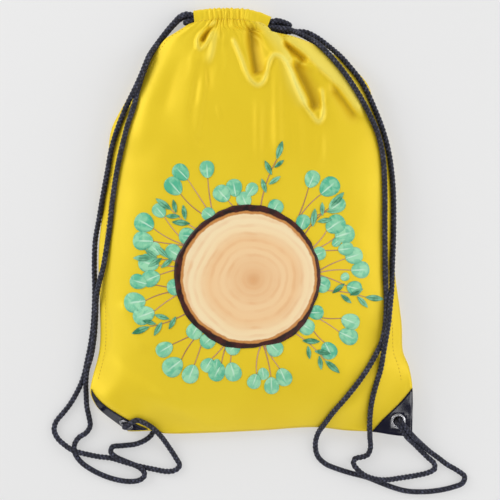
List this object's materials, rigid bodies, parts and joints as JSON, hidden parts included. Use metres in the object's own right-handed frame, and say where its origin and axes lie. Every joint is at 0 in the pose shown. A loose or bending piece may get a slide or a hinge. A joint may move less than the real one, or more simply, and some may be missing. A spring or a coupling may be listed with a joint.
{
  "type": "drawstring backpack",
  "caption": "Drawstring backpack lying on its back, mouth drawn shut: two sewn panels, cord sleeves, two looped braided cords, corner reinforcements with metal eyelets.",
  "frame": {"origin": "on the floor under the middle of the bag without its cords, the bag lying on its back", "axes": "+X to the bag's right as it is seen from its front, +Y from its bottom to its mouth, +Z out of its front panel"},
  "size_m": [0.4122, 0.4797, 0.0394],
  "materials": {
    "panel_fabric": "satin",
    "corner_sheet": "gloss",
    "eyelet_metal": "polished",
    "braided_cord": "matte",
    "thread": "satin"
  },
  "bodies": {
    "root": {"front_panel": "panel_fabric", "back_panel": "panel_fabric", "front_casing": "panel_fabric", "back_casing": "panel_fabric", "left_corner_patch_front": "corner_sheet", "left_corner_patch_back": "corner_sheet", "right_corner_patch_front": "corner_sheet", "right_corner_patch_back": "corner_sheet", "left_eyelet": "eyelet_metal", "left_eyelet_washer": "eyelet_metal", "right_eyelet": "eyelet_metal", "right_eyelet_washer": "eyelet_metal", "left_cord": "braided_cord", "right_cord": "braided_cord", "left_cord_knot": "braided_cord", "right_cord_knot": "braided_cord", "left_side_stitching": "thread", "right_side_stitching": "thread", "front_casing_stitching": "thread", "back_casing_stitching": "thread"}
  },
  "joints": []
}
